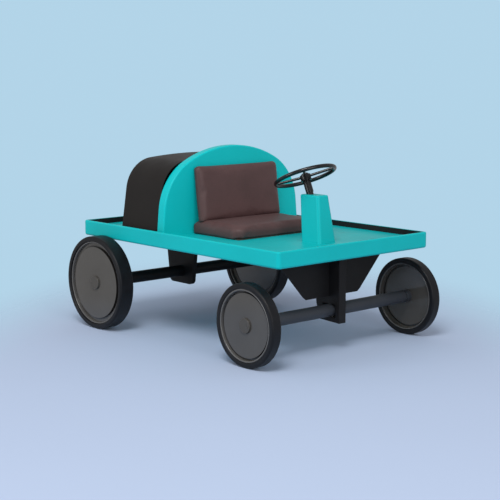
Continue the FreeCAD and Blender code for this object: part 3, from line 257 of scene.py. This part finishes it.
def paint(name, colour, rough, vary=0.05, peel=0.12, dust=0.0, specular=0.14):
    """Sprayed paint: a slight orange peel, cloudy gloss, a little colour drift and fine specks of dust."""
    g = Graph(name)
    base = g.drift(g.noise(3.2, detail=4), 0.3, 0.7, colour, vary)
    if dust:
        specks = g.ranged(g.noise(900, detail=2), 0.66, 0.8, 0, dust)
        base = g.mix(specks, base, PALE_DUST)
    cloud = g.noise(14, detail=5, rough=0.6)
    g.set(Base_Color=base, Specular_IOR_Level=specular,
          Roughness=g.ranged(cloud, 0.25, 0.75, rough * 0.86, rough * 1.16))
    g.bump(g.noise(420, detail=2, rough=0.45), peel, 0.0002)
    g.bump(g.noise(38, detail=2), peel * 0.6, 0.0008)
    return g.material


def leather(name, colour):
    """Smooth hide: pebbled grain, pores, faint creases and a worn sheen."""
    g = Graph(name)
    tone = g.noise(9, detail=5, rough=0.6)
    pores = g.cells(420, "F1")
    grain = g.cells(230, "DISTANCE_TO_EDGE")
    creases = g.noise(26, detail=6, rough=0.7, distortion=1.6)
    base = g.drift(tone, 0.3, 0.7, colour, 0.14)
    base = g.mix(g.ranged(grain, 0.0, 0.12, 0.32, 0.0), base, shade(colour, 0.45))
    g.set(Base_Color=base, Roughness=g.ranged(tone, 0.25, 0.75, 0.4, 0.54),
          Specular_IOR_Level=0.3, Sheen_Weight=0.03)
    g.bump(g.ranged(grain, 0.0, 0.16, smooth=True), 0.22, 0.0005)
    g.bump(pores, 0.1, 0.0003)
    g.bump(creases, 0.16, 0.0016)
    return g.material


def rubber(name, colour, rough, centre=None, edge=0.0):
    """Moulded rubber: fine pitting and bloom, and on a tyre a narrow band of moulding rings."""
    g = Graph(name)
    bloom = g.noise(22, detail=5, rough=0.65)
    base = g.mix(g.ranged(bloom, 0.35, 0.75), shade(colour, 0.85), shade(colour, 1.35))
    g.set(Base_Color=base, Specular_IOR_Level=0.22,
          Roughness=g.ranged(bloom, 0.3, 0.7, rough * 0.85, rough * 1.2))
    g.bump(g.noise(1100, detail=2), 0.14, 0.0002)
    if centre is not None:
        radius = g.from_axle(centre)
        rings = g.rings(radius, 2200.0)
        inner = g.ranged(radius, edge - 0.0006, edge + 0.0006)
        band = g.math("MULTIPLY", inner, g.ranged(radius, edge + 0.006, edge + 0.0072, 1, 0))
        g.bump(g.math("MULTIPLY", rings, band), 0.3, 0.0003)
    return g.material


def pressed_disc(name, colour, centre, groove):
    """Pressed-steel wheel disc under grey paint: fine turned rings, grey road dust, and painted shade that
    darkens the groove.
    """
    g = Graph(name)
    radius = g.from_axle(centre)
    tone = g.noise(11, detail=5, rough=0.6)
    base = g.drift(tone, 0.3, 0.7, colour, 0.07)
    dusty = g.ranged(radius, 0.03, 0.12, 0.0, 0.06)
    base = g.mix(g.math("MULTIPLY", dusty, g.noise(60, detail=5, rough=0.7)), base, ROAD_DUST)
    # painted shade: a ring round the groove is darkened towards near black, standing in for the shade that
    # falls in the recess
    painted_groove_shade = g.math("MULTIPLY", g.ranged(radius, groove - 0.001, groove, 0, 0.9),
                   g.ranged(radius, groove + 0.003, groove + 0.006, 1, 0))
    base = g.mix(painted_groove_shade, base, shade(colour, 0.12))
    g.set(Base_Color=base, Roughness=g.ranged(tone, 0.25, 0.75, 0.1, 0.16), Specular_IOR_Level=0.5)
    g.bump(g.rings(radius, 3800.0), 0.02, 0.0001)
    g.bump(g.noise(300, detail=2), 0.04, 0.0002)
    return g.material


def hub_paint(name, middle):
    """Grey cap on a wheel's outer face, and the axle's darker grey on the bush behind the disc."""
    g = Graph(name)
    apart = g.add("ShaderNodeSeparateXYZ")
    g.link(g.place, apart.inputs[0])
    outward = g.math("MULTIPLY", apart.outputs["Y"], math.copysign(1, middle))
    tone = g.noise(30, detail=4, rough=0.6)
    cap = g.ranged(outward, abs(middle) - 0.001, abs(middle) + 0.001)
    darker, lighter = (g.mix(cap, shade(AXLE, share), shade(DISC, share)) for share in (0.93, 1.07))
    base = g.mix(g.ranged(tone, 0.3, 0.75), darker, lighter)
    g.set(Base_Color=base, Roughness=g.ranged(tone, 0.25, 0.75, 0.24, 0.34), Specular_IOR_Level=0.3)
    g.bump(g.noise(420, detail=2), 0.08, 0.0002)
    return g.material


def metal(name, colour, rough, along, stain=0.08):
    """Bare or plated metal with fine tool marks along one direction."""
    g = Graph(name)
    marks = g.noise(240, rough=0.6, vector=g.stretched(along))
    base = g.drift(g.noise(30, detail=4, rough=0.6), 0.3, 0.75, colour, stain)
    g.set(Base_Color=base, Roughness=g.ranged(marks, 0.2, 0.8, rough * 0.75, rough * 1.3), Metallic=1.0)
    g.bump(marks, 0.06, 0.0002)
    return g.material


def plywood(name, colour):
    """Sanded face veneer with its growth lines running along the car."""
    g = Graph(name)
    grain = g.noise(16, detail=5, rough=0.6, vector=g.stretched((0.35, 5, 5)), distortion=1.2)
    fibre = g.noise(240, rough=0.6, vector=g.stretched((0.08, 1, 1)))
    base = g.mix(g.ranged(grain, 0.35, 0.65, smooth=True), shade(colour, 0.72), shade(colour, 1.15))
    base = g.mix(g.ranged(fibre, 0.4, 0.8, 0, 0.3), base, shade(colour, 0.5))
    g.set(Base_Color=base, Roughness=g.ranged(fibre, 0.2, 0.8, 0.55, 0.75))
    g.bump(fibre, 0.2, 0.0003)
    return g.material


def plastic(name, colour, rough):
    """Moulded plastic: almost even, with a faint texture and a few handling marks in the gloss."""
    g = Graph(name)
    marks = g.noise(55, detail=6, rough=0.7)
    base = g.mix(g.noise(8), shade(colour, 0.92), shade(colour, 1.08))
    g.set(Base_Color=base, Roughness=g.ranged(marks, 0.3, 0.75, rough * 0.8, rough * 1.35))
    g.bump(g.noise(500, detail=2), 0.06, 0.0002)
    return g.material


# ---------------------------------------------------------------- finishes of the CAD nodes

# One finish for each material slot of the record. The wheels' discs, hubs and tyres get their own below.
FINISH = {
    "teal_paint": paint("teal paint", TEAL, 0.38, peel=0.1, dust=0.06),
    # painted light: the arch board wears the deck's teal made a tenth lighter
    "teal_board": paint("teal paint on board with painted light", TEAL_WITH_PAINTED_LIGHT, 0.36, peel=0.1, dust=0.03),
    "cowl_black": paint("cowl black", COWL, 0.46, vary=0.12, dust=0.03),
    "hanger_black": paint("hanger black", HANGER, 0.48, vary=0.15, dust=0.05),
    "liner_black": rubber("liner edging", LINER, 0.7),
    "brown_leather": leather("brown leather", LEATHER),
    "plywood": plywood("plywood", WOOD),
    "axle_grey": paint("axle grey", AXLE, 0.42, vary=0.1, dust=0.04),
    "wheel_gloss": plastic("steering gloss black", WHEEL_BLACK, 0.2),
    "shaft_steel": metal("ground steel", STEEL, 0.24, (1, 0.05, 1)),
    "zinc_steel": metal("zinc plate", ZINC, 0.36, (1, 1, 0.3), stain=0.14),
    "nylon": plastic("natural nylon", NYLON, 0.5),
    "belt_rubber": rubber("belt", BELT, 0.65),
    "tread_rubber": rubber("treadle rubber", TREAD, 0.6),
    "trim_grey": paint("rolled bead grey", TRIM, 0.26, vary=0.07, specular=0.5),
}


def wear(obj, material):
    obj.data.materials.clear()
    obj.data.materials.append(material)


for label, obj in NODES.items():
    if SLOT_OF[label] in FINISH:
        wear(obj, FINISH[SLOT_OF[label]])

for end, side in WHEELS:
    low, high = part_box(f"{end}_{side}_tyre")
    centre = tuple((low + high) / 2)
    radius = (high.z - low.z) / 2
    tag = f"{end} {side}"
    tyre = rubber(f"{tag} tyre", TYRE, 0.42, centre, radius * RINGS_SHARE)
    wear(NODES[f"{end}_{side}_tyre"], tyre)
    disc = pressed_disc(f"{tag} disc", DISC, centre, radius * GROOVE_SHARE)
    wear(NODES[f"{end}_{side}_wheel_disc"], disc)
    wear(NODES[f"{end}_{side}_hub"], hub_paint(f"{tag} hub", centre[1]))


# ---------------------------------------------------------------- mesh helpers


def new_object(name, bm):
    mesh = bpy.data.meshes.new(name)
    bmesh.ops.recalc_face_normals(bm, faces=bm.faces)
    bm.to_mesh(mesh)
    bm.free()
    obj = bpy.data.objects.new(name, mesh)
    bpy.context.scene.collection.objects.link(obj)
    return obj


def smooth(obj):
    for face in obj.data.polygons:
        face.use_smooth = True
    return obj


def applied(obj):
    """The object with its modifiers turned into plain mesh."""
    evaluated = obj.evaluated_get(bpy.context.evaluated_depsgraph_get())
    mesh = bpy.data.meshes.new_from_object(evaluated)
    obj.modifiers.clear()
    obj.data = mesh
    return obj


def box_mesh(low, high):
    bm = bmesh.new()
    bmesh.ops.create_cube(bm, size=1)
    size = Vector(high) - Vector(low)
    bmesh.ops.scale(bm, vec=size, verts=bm.verts)
    bmesh.ops.translate(bm, vec=(Vector(high) + Vector(low)) / 2, verts=bm.verts)
    return bm


def bevel_edges(bm, chosen, radius, segments):
    edges = [edge for edge in bm.edges if chosen(edge)]
    bmesh.ops.bevel(bm, geom=edges, offset=radius, segments=segments, profile=0.5, affect="EDGES",
                    clamp_overlap=True)


def runs(edge, axis):
    """Says whether an edge runs along an axis."""
    way = edge.verts[1].co - edge.verts[0].co
    return abs(way.normalized()[axis]) > 0.999


def rim_edges(face_axis, level):
    """Chooses the edges round a flat face that lies at a level along one axis."""
    def chosen(edge):
        if min(v.co[face_axis] for v in edge.verts) < level - SAME_LEVEL:
            return False
        return len({round(f.normal[face_axis], 2) for f in edge.link_faces}) > 1
    return chosen


def skin(bm, loops):
    """Joins each loop of vertices to the next one with faces, and closes the two ends."""
    count = len(loops[0])
    for first, second in zip(loops, loops[1:]):
        for i in range(count):
            j = (i + 1) % count
            bm.faces.new((first[i], first[j], second[j], second[i]))
    bm.faces.new(loops[0])
    bm.faces.new(loops[-1])


# ---------------------------------------------------------------- cushions


def inflate(obj, cap, keep):
    """Swells a closed shell by cloth simulation, and lets no point move more than the cap."""
    remesh = obj.modifiers.new("remesh", "REMESH")
    remesh.mode = "VOXEL"
    remesh.voxel_size = VOXEL
    applied(obj)
    start = [v.co.copy() for v in obj.data.vertices]
    cloth = obj.modifiers.new("cloth", "CLOTH")
    settings = cloth.settings
    settings.quality = 6
    settings.mass = 0.3
    settings.tension_stiffness = 18
    settings.compression_stiffness = 18
    settings.shear_stiffness = 8
    settings.bending_stiffness = 2.5
    settings.use_pressure = True
    settings.uniform_pressure_force = PRESSURE
    settings.effector_weights.gravity = 0
    cloth.collision_settings.use_collision = False
    for number in range(1, CLOTH_FRAMES + 1):
        bpy.context.scene.frame_set(number)
    applied(obj)
    bpy.context.scene.frame_set(1)
    for vertex, before in zip(obj.data.vertices, start):
        move = vertex.co - before
        if move.length > cap:
            move *= cap / move.length
        vertex.co = keep(before + move, before)


def settle(obj):
    """Evens out the surface a little."""
    relax = obj.modifiers.new("relax", "SMOOTH")
    relax.factor = 0.5
    relax.iterations = RELAX_ROUNDS
    finer = obj.modifiers.new("finer", "SUBSURF")
    finer.levels = 1
    finer.render_levels = 1
    smooth(applied(obj))


def leather_pad(obj, node):
    wear(obj, FINISH["brown_leather"])
    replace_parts(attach(obj, "chassis"), node)


def seat_cushion():
    """Flat below and behind, crowned above, with two large front corners."""
    low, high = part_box("seat_cushion")
    board_low, board_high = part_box("seat_board")
    top = high.z - SEAT_CROWN
    bm = box_mesh(low, (high.x, high.y, top))
    bevel_edges(bm, lambda e: runs(e, 2) and e.verts[0].co.x > 0, SEAT_CORNER, 8)
    on_rim = rim_edges(2, top)
    bevel_edges(bm, lambda e: on_rim(e) and max(v.co.x for v in e.verts) > low.x + SAME_LEVEL, SEAT_RIM, 5)
    obj = new_object("seat_cushion_leather", bm)

    def keep(point, before):
        point.z = max(point.z, low.z)
        point.x = max(point.x, low.x)
        point.y = before.y + (point.y - before.y) * 0.5
        return point

    inflate(obj, SEAT_CAP, keep)
    settle(obj)
    for vertex in obj.data.vertices:
        vertex.co.z = max(vertex.co.z, low.z)
        vertex.co.x = max(vertex.co.x, low.x)
        # the cover's hem hangs past the board it is tacked to
        past = max(vertex.co.x - board_high.x, abs(vertex.co.y) - board_high.y) / HEM_REACH
        hang = max(0, min(1, past)) * max(0, 1 - (vertex.co.z - low.z) / HEM_HEIGHT)
        vertex.co.z -= (low.z - board_low.z - HEM_CLEARANCE) * hang
    leather_pad(obj, "seat_cushion")


def seat_back():
    """Built upright about its own foot, inflated, then laid back on its recline."""
    vertices = [v.co for v in NODES["seat_back_pad"].data.vertices]
    recline = math.radians(BACK_RECLINE)
    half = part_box("seat_back_pad")[1].y + BACK_PROUD
    # the pad's own axes: up along its recline, out of its face
    up = Vector((-math.sin(recline), 0, math.cos(recline)))
    out = Vector((math.cos(recline), 0, math.sin(recline)))
    foot = min(v.dot(up) for v in vertices)
    back = min(v.dot(out) for v in vertices)
    height = max(v.dot(up) for v in vertices) - foot
    front = max(v.dot(out) for v in vertices) - back - BACK_CROWN
    bm = box_mesh((0, -half, -BACK_SUNK), (front, half, height + BACK_PROUD))
    bevel_edges(bm, lambda e: runs(e, 0) and e.verts[0].co.z > height / 2, BACK_CORNER, 5)
    on_rim = rim_edges(0, front)
    bevel_edges(bm, lambda e: on_rim(e) and max(v.co.z for v in e.verts) > 0, BACK_RIM, 4)
    obj = new_object("seat_back_leather", bm)

    def keep(point, before):
        point.x = max(point.x, 0)
        point.z = max(before.z + (point.z - before.z) * 0.35, -BACK_SUNK)
        point.y = before.y + (point.y - before.y) * 0.35
        return point

    inflate(obj, BACK_CAP, keep)
    settle(obj)
    for vertex in obj.data.vertices:
        vertex.co.x = max(vertex.co.x, 0)
        vertex.co.z = max(vertex.co.z, -BACK_SUNK)
    turn = Matrix((out, (0, 1, 0), up)).transposed().to_4x4()
    shift = Matrix.Translation(out * back + up * foot)
    obj.data.transform(shift @ turn)
    leather_pad(obj, "seat_back_pad")


seat_cushion()
seat_back()


# ---------------------------------------------------------------- treadle treads and return springs


def treadle_tread(side):
    """Ribbed rubber tread in the place of a foot plate's slab, thin enough to stay behind the front lip."""
    node = f"treadle_pad_{side}"
    vertices = [v.co for v in NODES[node].data.vertices]
    slope = math.radians(TREADLE_SLOPE)
    along = Vector((math.cos(slope), 0, math.sin(slope)))
    up = Vector((-math.sin(slope), 0, math.cos(slope)))
    start, end = (pick(v.dot(along) for v in vertices) for pick in (min, max))
    under = min(v.dot(up) for v in vertices)
    near, far = (pick(v.y for v in vertices) for pick in (min, max))
    web, top = under + TREAD_WEB, under + TREAD_HEIGHT
    profile = [(start, under), (start, web)]
    place = start + TREAD_PITCH * 0.5
    while place + TREAD_RIB < end - TREAD_PITCH * 0.5:
        profile += [(place, web), (place + TREAD_RIB * TREAD_SHOULDER, top),
                    (place + TREAD_RIB * (1 - TREAD_SHOULDER), top), (place + TREAD_RIB, web)]
        place += TREAD_PITCH
    profile += [(end, web), (end, under)]
    bm = bmesh.new()
    skin(bm, [[bm.verts.new(along * a + up * u + Vector((0, y, 0))) for a, u in profile]
              for y in (near, far)])
    obj = new_object(f"treadle_{side}_tread", bm)
    soft = obj.modifiers.new("soft", "BEVEL")
    soft.width = TREAD_EDGE
    soft.segments = 2
    applied(obj)
    wear(obj, FINISH["tread_rubber"])
    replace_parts(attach(obj, f"treadle_{side}"), node)


def spring_coils():
    """Two closely wound wire coils in the place of the plain sleeves on the pivot shaft."""
    low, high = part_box("pedal_springs")
    middle = (low + high) / 2
    radius = (high.z - low.z) / 2 - SPRING_WIRE
    inner = min(abs(v.co.y) for v in NODES["pedal_springs"].data.vertices)
    bm = bmesh.new()
    for way in (1, -1):
        start, end = way * (inner + SPRING_WIRE), way * (high.y - SPRING_WIRE)
        rings = []
        for i in range(SPRING_TURNS * SPRING_STEPS + 1):
            share = i / (SPRING_TURNS * SPRING_STEPS)
            angle = share * SPRING_TURNS * math.tau
            radial = Vector((math.cos(angle), 0, math.sin(angle)))
            centre = Vector((middle.x, start + (end - start) * share, middle.z)) + radial * radius
            ring = []
            for k in range(SPRING_SIDES):
                turn = math.tau * k / SPRING_SIDES
                outward = radial * math.cos(turn) + Vector((0, math.sin(turn), 0))
                ring.append(bm.verts.new(centre + outward * SPRING_WIRE))
            rings.append(ring)
        skin(bm, rings)
    obj = smooth(new_object("pedal_spring_coils", bm))
    wear(obj, FINISH[SLOT_OF["pedal_springs"]])
    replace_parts(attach(obj, "chassis"), "pedal_springs")


treadle_tread("left")
treadle_tread("right")
spring_coils()


# ---------------------------------------------------------------- floor, light and camera


def studio_floor():
    """Pale floor that clears to the backdrop well away from the car."""
    bm = bmesh.new()
    bmesh.ops.create_circle(bm, cap_ends=True, radius=FLOOR_RADIUS, segments=96)
    obj = new_object("studio_floor", bm)
    g = Graph("studio floor")
    g.set(Base_Color=g.mix(g.noise(1.5), shade(FLOOR, 0.985), shade(FLOOR, 1.015)),
          Roughness=0.75, Specular_IOR_Level=0.1)
    oval = g.add("ShaderNodeMapping", vector_type="TEXTURE")
    g.link(g.place, oval.inputs["Vector"])
    oval.inputs["Location"].default_value = OVAL_CENTRE
    oval.inputs["Rotation"].default_value = (0, 0, math.radians(OVAL_TURN))
    oval.inputs["Scale"].default_value = OVAL_HALF_AXES
    apart = g.add("ShaderNodeVectorMath", operation="LENGTH")
    g.link(oval.outputs["Vector"], apart.inputs[0])
    blend = g.add("ShaderNodeMixShader")
    g.link(g.ranged(apart.outputs["Value"], *OVAL_CLEARS, smooth=True), blend.inputs[0])
    g.link(g.shader.outputs[0], blend.inputs[1])
    g.link(g.add("ShaderNodeBsdfTransparent").outputs[0], blend.inputs[2])
    g.link(blend.outputs[0], g.tree.nodes["Material Output"].inputs["Surface"])
    wear(obj, g.material)


def studio_world():
    """Backdrop colour for what the camera sees directly, and neutral room light for everything else."""
    world = bpy.data.worlds.new("studio")
    bpy.context.scene.world = world
    world.use_nodes = True
    tree = world.node_tree
    blend = tree.nodes.new("ShaderNodeMix")
    blend.data_type = "RGBA"
    blend.inputs[6].default_value = (*ROOM, 1)
    blend.inputs[7].default_value = (*BACKDROP, 1)
    seen = tree.nodes.new("ShaderNodeLightPath").outputs["Is Camera Ray"]
    tree.links.new(seen, blend.inputs[0])
    tree.links.new(blend.outputs[2], tree.nodes["Background"].inputs["Color"])


def soft_light(name, place, size, watts, colour):
    data = bpy.data.lights.new(name, "AREA")
    data.shape = "DISK"
    data.size = size
    data.energy = watts
    data.color = colour
    lamp = bpy.data.objects.new(name, data)
    lamp.location = place
    lamp.rotation_euler = (Vector(LIGHT_AIM) - Vector(place)).to_track_quat("-Z", "Y").to_euler()
    bpy.context.scene.collection.objects.link(lamp)


def studio_camera():
    data = bpy.data.cameras.new("camera")
    data.lens = CAMERA_LENS
    data.sensor_width = CAMERA_SENSOR
    camera = bpy.data.objects.new("camera", data)
    camera.location = CAMERA_PLACE
    yaw, pitch = math.radians(CAMERA_YAW), math.radians(CAMERA_PITCH)
    level = math.cos(pitch)
    ahead = Vector((math.cos(yaw) * level, math.sin(yaw) * level, math.sin(pitch)))
    camera.rotation_mode = "QUATERNION"
    camera.rotation_quaternion = ahead.to_track_quat("-Z", "Y")
    bpy.context.scene.collection.objects.link(camera)
    bpy.context.scene.camera = camera


studio_floor()
studio_world()
for light in LIGHTS:
    soft_light(*light)
studio_camera()
bpy.context.scene.view_settings.view_transform = "Standard"
